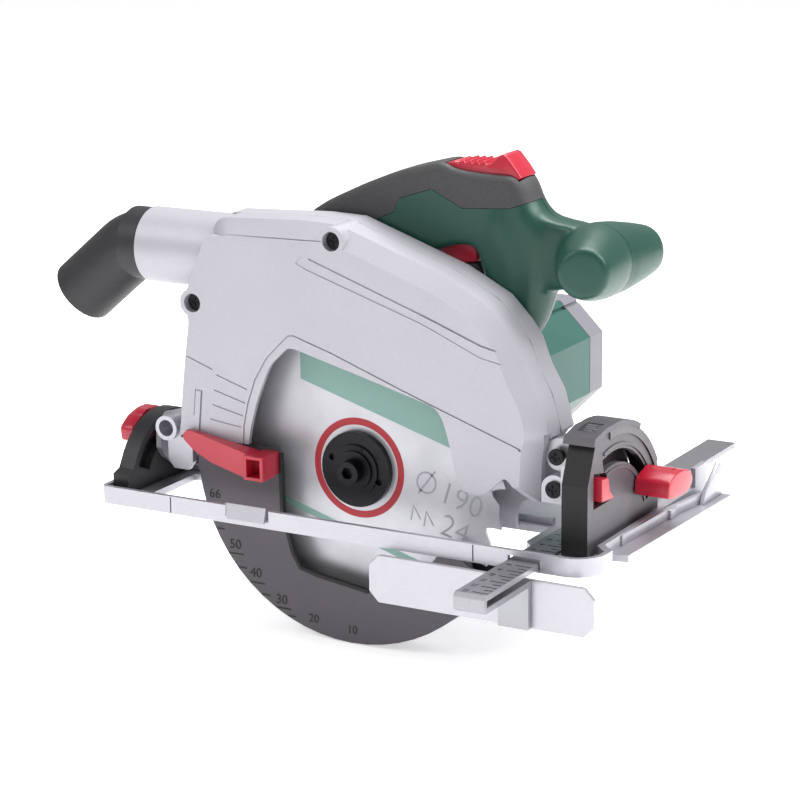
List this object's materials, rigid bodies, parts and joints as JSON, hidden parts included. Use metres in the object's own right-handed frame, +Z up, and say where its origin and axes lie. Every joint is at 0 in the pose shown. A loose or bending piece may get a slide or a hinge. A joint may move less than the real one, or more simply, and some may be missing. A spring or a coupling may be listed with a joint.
{
  "type": "hand-held circular saw",
  "caption": "Hand-held circular saw with tilting sole, swinging lower guard, silver upper guard, dark green motor and handle, red controls and a parallel guide.",
  "frame": {"origin": "on the underside of the sole, straight below the blade spindle's axis, 40 mm to the motor side of the blade's outer face", "axes": "+X forwards along the cut, +Y towards the motor, +Z up from the sole"},
  "size_m": [0.3873, 0.341, 0.285],
  "materials": {
    "machined_aluminium": "machined and satin",
    "silver_paint": "satin silver-grey paint on a casting",
    "green_plastic": "moulded plastic with a metallic green tint",
    "grey_plastic": "moulded grey plastic",
    "charcoal_paint": "dark grey paint",
    "black_plastic": "moulded black plastic",
    "black_rubber": "soft overmould",
    "red_plastic": "moulded crimson plastic",
    "ground_steel": "ground steel",
    "blade_steel": "bright ground sheet with printed bands",
    "black_steel": "blackened steel",
    "copper_wire": "copper",
    "brass": "plain brass"
  },
  "bodies": {
    "base": {"base_plate": "machined_aluminium", "front_quadrant": "charcoal_paint", "rear_quadrant": "charcoal_paint"},
    "bevel_latch": {"bevel_stop_latch": "red_plastic"},
    "guide": {"guide_bar": "ground_steel", "guide_fence": "machined_aluminium"},
    "guide_clamp": {"guide_clamp_screw": "black_plastic"},
    "carrier": {"front_bracket": "machined_aluminium", "rear_bracket": "machined_aluminium", "depth_arc": "ground_steel", "depth_pivot_screw": "black_steel", "bracket_screw": "black_steel"},
    "front_knob": {"front_bevel_knob": "red_plastic"},
    "rear_knob": {"rear_bevel_knob": "red_plastic"},
    "saw_head": {"guard_cover": "silver_paint", "guard_housing": "silver_paint", "bearing_shield": "machined_aluminium", "cover_screw_rear": "black_steel", "cover_screw_top": "black_steel", "motor_housing": "green_plastic", "motor_end_cap": "grey_plastic", "stator_core": "ground_steel", "field_coil_upper": "copper_wire", "field_coil_lower": "copper_wire", "brush_holder_front": "brass", "brush_holder_rear": "brass", "carbon_brush_front": "black_plastic", "carbon_brush_rear": "black_plastic", "armature_bearing_front": "ground_steel", "armature_bearing_rear": "ground_steel", "spindle_bearing_front": "ground_steel", "spindle_bearing_rear": "ground_steel", "handle_shell_near": "green_plastic", "handle_shell_far": "green_plastic", "soft_grip": "black_rubber", "switch_module": "black_plastic", "cable_gland": "black_rubber", "guard_return_spring": "ground_steel"},
    "blade": {"spindle_shaft": "ground_steel", "spindle_gear": "ground_steel", "inner_flange": "black_steel", "saw_blade": "blade_steel", "outer_flange": "black_steel", "blade_bolt": "black_steel"},
    "countershaft": {"countershaft": "ground_steel", "counter_gear": "ground_steel"},
    "armature": {"armature_shaft": "ground_steel", "armature_pinion": "ground_steel", "armature_core": "ground_steel", "commutator": "copper_wire", "cooling_fan": "black_plastic"},
    "lower_guard": {"lower_guard": "charcoal_paint", "guard_lever": "red_plastic"},
    "trigger": {"trigger": "red_plastic"},
    "lock_slider": {"lock_slider": "red_plastic"},
    "spindle_lock": {"spindle_lock_button": "black_plastic"},
    "depth_lever": {"depth_lever": "red_plastic"},
    "dust_elbow": {"dust_elbow": "black_plastic"}
  },
  "joints": [
    {"name": "bevel_tilt", "type": "hinge", "parent": "base", "child": "carrier", "pos_m": [0, -0.031, 0.003], "axis": [1, 0, 0], "range_deg": [0, 45]},
    {"name": "depth_swing", "type": "hinge", "parent": "carrier", "child": "saw_head", "pos_m": [0.13, -0.0393, 0.054], "axis": [0, 1, 0], "range_deg": [0, 26]},
    {"name": "blade_spin", "type": "hinge", "parent": "saw_head", "child": "blade", "pos_m": [0, -0.039, 0.029], "axis": [0, 1, 0], "continuous": true},
    {"name": "counter_spin", "type": "hinge", "parent": "saw_head", "child": "countershaft", "pos_m": [0.0214, -0.004, 0.04827], "axis": [0, 1, 0], "continuous": true},
    {"name": "armature_spin", "type": "hinge", "parent": "saw_head", "child": "armature", "pos_m": [0.03968, 0.047, 0.06473], "axis": [0, 1, 0], "continuous": true},
    {"name": "guard_swing", "type": "hinge", "parent": "saw_head", "child": "lower_guard", "pos_m": [0, -0.031, 0.029], "axis": [0, 1, 0], "range_deg": [0, 128], "stiffness_Nm_per_rad": 0.15, "springref_deg": -57.3},
    {"name": "trigger_press", "type": "hinge", "parent": "saw_head", "child": "trigger", "pos_m": [0.022, 0.002, 0.166], "axis": [0, -1, 0], "range_deg": [0, 7], "stiffness_Nm_per_rad": 0.6, "springref_deg": -5.73},
    {"name": "lock_slide", "type": "slide", "parent": "saw_head", "child": "lock_slider", "axis": [1, 0, 0], "range_m": [0, 0.004], "stiffness_N_per_m": 300, "springref_m": -0.003},
    {"name": "spindle_lock_press", "type": "slide", "parent": "saw_head", "child": "spindle_lock", "axis": [1, 0, 0], "range_m": [0, 0.003], "stiffness_N_per_m": 300, "springref_m": -0.002},
    {"name": "elbow_turn", "type": "hinge", "parent": "saw_head", "child": "dust_elbow", "pos_m": [-0.15, -0.033, 0.147], "axis": [1, 0, 0], "range_deg": [-90, 90]},
    {"name": "front_knob_turn", "type": "hinge", "parent": "carrier", "child": "front_knob", "pos_m": [0.165, 0.01189, 0.02928], "axis": [1, 0, 0], "range_deg": [-90, 0]},
    {"name": "rear_knob_turn", "type": "hinge", "parent": "carrier", "child": "rear_knob", "pos_m": [-0.155, -0.03388, 0.03587], "axis": [1, 0, 0], "range_deg": [0, 90]},
    {"name": "latch_turn", "type": "hinge", "parent": "base", "child": "bevel_latch", "pos_m": [0.15, -0.05, 0.04], "axis": [1, 0, 0], "range_deg": [0, 10]},
    {"name": "depth_lever_turn", "type": "hinge", "parent": "saw_head", "child": "depth_lever", "pos_m": [-0.11485, -0.002, 0.04545], "axis": [0, 1, 0], "range_deg": [0, 40]},
    {"name": "guide_slide", "type": "slide", "parent": "base", "child": "guide", "axis": [0, 1, 0], "range_m": [-0.09, 0.03]},
    {"name": "guide_clamp_turn", "type": "hinge", "parent": "base", "child": "guide_clamp", "pos_m": [0.12975, 0.058, 0.018], "axis": [0, 0, 1], "range_deg": [-90, 0]}
  ],
  "couplings": [
    {"joint": "counter_spin", "follows": "blade_spin", "ratio": -1.6667},
    {"joint": "armature_spin", "follows": "blade_spin", "ratio": 5.1667}
  ]
}
